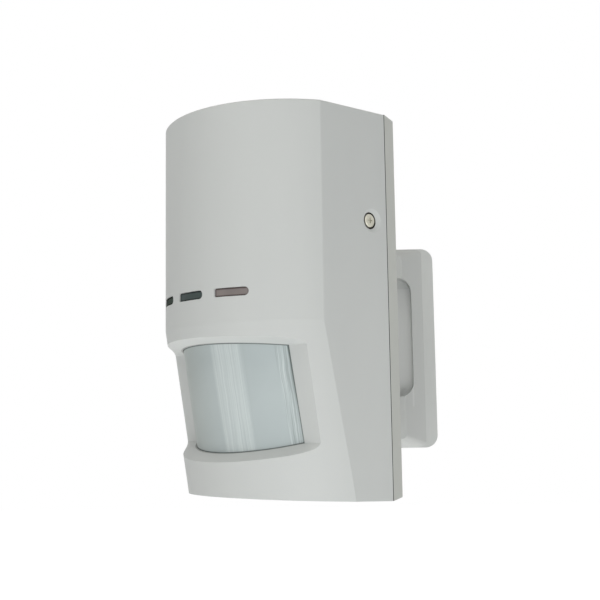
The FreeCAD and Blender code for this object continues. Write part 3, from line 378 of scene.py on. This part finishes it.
def lens_film(name, left, right, milk_and_glint, edge):
    """Milky film with painted light and shade: over the ribs, long pale and dark lines drawn from
    noise stretched along them stand for the grooves' glints and shade, the left part is painted a
    little darker as shade, and a painted shadow line runs round the opening's edge.
    """
    material = bpy.data.materials.new(name)
    net = Net(material)
    flat = net.add("UVMap", {"uv_map": "flat"})
    wander = net.add("CombineXYZ", None, (net.noise(90, 2, flat) - 0.5) * line_wander)
    place = net.add("VectorMath", {"operation": "ADD"}, flat, wander)
    side, up, _ = axes(net, flat)
    across = side + (up - band_foot) * band_lean

    def step(value, start):
        return net.smooth(value, start[0], start[0] + start[1])

    lines = net.noise(line_scale, 3, place, line_draw)
    fine = net.noise(fine_scale, 3, place, line_draw)
    broad = net.noise(broad_scale, 2, place, broad_draw)
    milk = net.noise(milk_scale, 3)
    # The left part of the sheet a little darker: painted shade.
    film = net.mix(step(side, tone_turn), colour(left), colour(right))
    film = net.mix(milk * 0.25, film, colour(milk_and_glint))
    main = step(across, main_start) * (1 - step(across, main_end))
    outer = step(across, outer_start)
    # Pale lines as painted glints and dark lines as painted shade over the ribbed bands.
    pale = (main * (main_tone + broad * main_broad + (lines - 0.5) * main_lines)
            + outer * ((fine - 0.5) * outer_lines + outer_tone))
    pale = pale.math("MAXIMUM", darkest).math("MINIMUM", 1.0)
    lit = net.mix(pale.math("MAXIMUM", 0.0), film, colour(milk_and_glint))
    lit = net.mix(pale * dark_share, lit, colour(edge))
    # A painted shadow line along the opening's edge, where the lens sits back behind the cover.
    rim = 1 - step(net.add("Attribute", {"attribute_name": "to_edge"}, out="Fac"), edge_shadow)
    net.finish(Base_Color=net.mix(rim, lit, colour(edge)), Roughness=0.42 + lines * 0.12,
               Specular_IOR_Level=0.1,
               Normal=net.bump(lines * (main + outer) + milk * 0.2, 0.25, 0.0001))
    return material


lens = put(lens_mesh(), "lens_film")
thick = lens.modifiers.new("thickness", "SOLIDIFY")
thick.thickness, thick.offset = lens_sheet * MM, -1
# Left and right tones, the left one darker as painted shade; the pale colour of the milk and the
# painted glints; the colour of the painted shade and shadow line.
lens.data.materials.append(lens_film("film", "#b3bab7", "#b5bfc0", "#d6dedd", "#757e7c"))
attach(lens, "head")
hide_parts("fresnel_lens")


# Indicator windows. Three small tinted plugs pressed into the slots from behind, clear plastic
# dyed green, slate and mauve, with the lamps' light guide dull behind them.
slot_middle, slot_half, slot_edge_shade = 83.45, 1.75, (0.25, 0.85)
# Each window's material, node, two tints, the colour of the shade painted along its edges, middle
# and half width in mm, and sheen.
windows = (("window_green", "indicator_window_left", "#48504b", "#59615b", "#0e1110",
            -20.8, 7.03, 0.0),
           ("window_slate", "indicator_window_middle", "#3c4645", "#4c5655", "#1c2221",
            0.0, 7.65, 0.1),
           ("window_mauve", "indicator_window_right", "#7b7472", "#928a87", "#4c4341",
            20.8, 7.03, 0.1))


def tinted(name, deep, pale, edge=None, middle=0.0, half=0.0, sheen=0.1):
    """Dyed clear plastic over a dark inside: colour in soft patches, under a polished face.

    A plug in a slot gets painted shade along its edges."""
    material = bpy.data.materials.new(name)
    net = Net(material)
    pooled = net.noise(160, 2)
    swirl = net.noise(900, 2)
    paint = net.mix(pooled, colour(deep), colour(pale))
    if edge:
        across, _, up = in_case(*axes(net, net.place()))
        ends = half - (across - middle).math("ABSOLUTE")
        sides = slot_half - (up - slot_middle).math("ABSOLUTE")
        # Painted shade along the plug's edges.
        paint = net.mix(net.smooth(ends.math("MINIMUM", sides), *slot_edge_shade), colour(edge), paint)
    net.finish(Base_Color=paint, Roughness=0.3 + swirl * 0.15, Specular_IOR_Level=sheen,
               Normal=net.bump(swirl, 0.15, 0.00003))
    return material


for name, node, deep, pale, edge, middle, half, sheen in windows:
    dress(tinted(name, deep, pale, edge, middle, half, sheen), node)


# Screws. Turned steel, zinc plated and passivated: the closing screw's warm grey head shows in
# the side, the others hold the board, the arm and the wires.
steel_metallic, steel_relief, scratch_draw = 0.85, 0.00003, (1, 1, 6)


def plated(name, bright, dull, rough, size=0.0006):
    """Plated metal: fine turning scratches in the gloss, cloudy passivation in the colour."""
    material = bpy.data.materials.new(name)
    net = Net(material)
    cloud = net.noise(1 / size / 4, 3)
    scratch = net.noise(1 / size, 4, stretch=scratch_draw)
    net.finish(Base_Color=net.mix(cloud, colour(bright), colour(dull)), Metallic=steel_metallic,
               Roughness=rough + scratch * 0.2, Normal=net.bump(scratch, 0.2, steel_relief))
    return material


dress(plated("screw_steel", "#cccabd", "#b3b1a3", 0.38),
      "closing_screw", "board_screws", "arm_screws", "terminal_screws")

# Pivot bolt and nut. Forged steel with hexagons, zinc plated bright and bluer than the screws.
# The bolt drops through the plate's ears and the arm's barrel, and the nut closes it below.
dress(plated("bolt_zinc", "#c9ced2", "#a9afb4", 0.3), "pivot_bolt", "pivot_nut")

# Friction washers. Two rings stamped from black rubber with a dusty bloom. The bolt presses
# them between ear and barrel, which holds the turn that the detector was given.
dress(moulded("washer_rubber", "#2b2c2d", "#3a3b3c", 0.75, 0.6), "friction_washers")

# Cable grommet. A closed plug moulded in grey rubber, pressed into the hole in the base's rear
# wall, to be pierced where a cable comes in.
dress(moulded("grommet_rubber", "#9a9d9c", "#8b8e8d", 0.7, 0.5), "cable_grommet")


# Boards. Glass-epoxy laminate under green solder mask, the larger one screwed to the base's
# posts and the microwave board on pins above it. The weave shows faintly through the mask.
track_scale, track_start, weave_scale = 260, 0.42, 600


def laminate(name, mask, track):
    """Solder mask over woven glass: fine waves for the weave, square cells for the copper."""
    material = bpy.data.materials.new(name)
    net = Net(material)
    cells = net.add("TexVoronoi", {"distance": "CHEBYCHEV"}, Vector=net.place(), Scale=track_scale)
    copper = cells > track_start
    weave = net.add("TexWave", {"bands_direction": "Z"}, Vector=net.place(), Scale=weave_scale,
                    out="Fac")
    net.finish(Base_Color=net.mix(copper, colour(mask), colour(track)),
               Roughness=0.3 + weave * 0.12, Normal=net.bump(copper + weave * 0.3, 0.3, 0.00004))
    return material


dress(laminate("board_mask", "#1f5a3a", "#2c7148"), "circuit_board", "microwave_board")

# Heat sensor and microwave can. Both are cans drawn from tinplate with a satin face: the
# sensor's stands in its holder, the other closes over the microwave board's parts.
dress(plated("can_tin", "#cfd0cb", "#b3b4af", 0.25, 0.001), "pyro_sensor", "microwave_can")

# Header pins. A row of square brass pins, gold flashed, on which the microwave board stands off
# the circuit board.
dress(plated("pin_gold", "#d9b45c", "#c29a45", 0.25), "header_pins")

# Supply capacitor. A drawn aluminium can in a shrunk plastic sleeve, here plain dark blue, and
# soldered to the circuit board.
dress(moulded("capacitor_sleeve", "#1e2a44", "#27365a", 0.35, 0.1), "supply_capacitor")

# Terminal block. Moulded in green polyamide with a pocket for each of its screws, and soldered
# to the circuit board.
dress(moulded("terminal_plastic", "#2f7d4f", "#286e45", 0.45, 0.2), "terminal_block")

# Black mouldings. The sensor's holder, the relay, the chip, the tamper switch and the jumper
# block are moulded in black plastic and sit on the circuit board.
dress(moulded("black_plastic", "#232425", "#2e2f30", 0.5, 0.3), "sensor_holder", "alarm_relay",
      "processor_chip", "tamper_switch", "jumper_block")

# Jumper caps. Small caps moulded in red plastic round a spring contact, pushed by hand onto the
# pins of the jumper block.
dress(moulded("red_plastic", "#b0332b", "#9c2b25", 0.45, 0.2), "jumper_caps")

# Tamper lever. A strip stamped and bent from spring steel. The closed cover holds it down on
# the tamper switch.
dress(plated("spring_steel", "#b9bdc0", "#9ca1a5", 0.22), "tamper_lever")

# Indicator lamps and light guide. The lamps are cast in clear epoxy and soldered to the board;
# the guide, moulded in acrylic and nearly colourless, takes their light to the windows.
dress(tinted("lamp_epoxy", "#c9cfcc", "#dde2df"), "led_left", "led_middle", "led_right")
dress(tinted("guide_acrylic", "#c4ccd0", "#d6dde0"), "light_guide")
